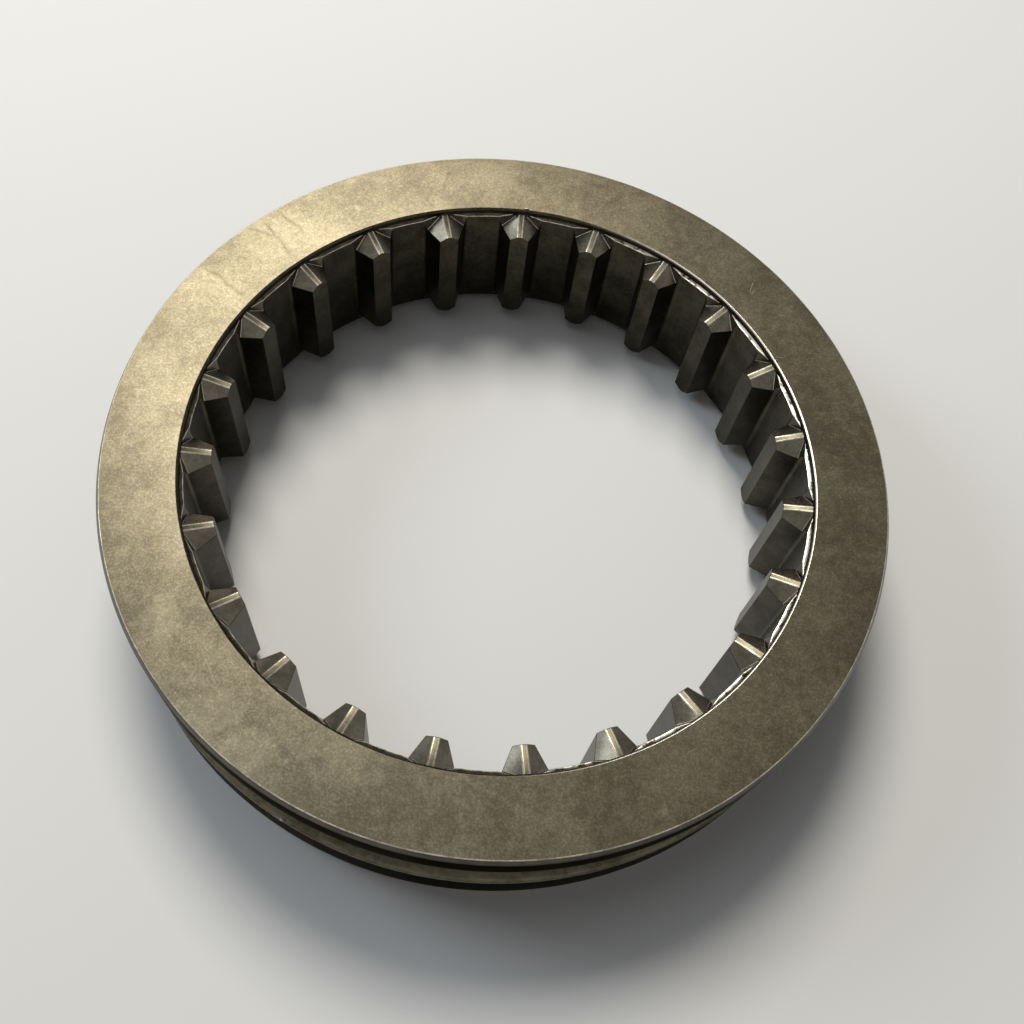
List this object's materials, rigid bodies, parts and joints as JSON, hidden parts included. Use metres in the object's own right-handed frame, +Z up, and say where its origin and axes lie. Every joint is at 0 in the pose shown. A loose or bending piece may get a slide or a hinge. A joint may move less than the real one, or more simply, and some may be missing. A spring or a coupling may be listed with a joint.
{
  "type": "synchroniser sliding sleeve",
  "caption": "Steel sliding sleeve for a gearbox synchroniser: a flat ring with pointed internal teeth and a shift-fork groove round its outside.",
  "frame": {"origin": "centre of the bore at the lower face", "axes": "+Z up the bore axis towards the flange that is seen in the picture, +X through the middle of one internal tooth"},
  "size_m": [0.108, 0.108, 0.0216],
  "materials": {
    "ground_steel": "fine ground, lightly oiled, with a mottled brown patina"
  },
  "bodies": {
    "root": {"sliding_sleeve": "ground_steel"}
  },
  "joints": []
}
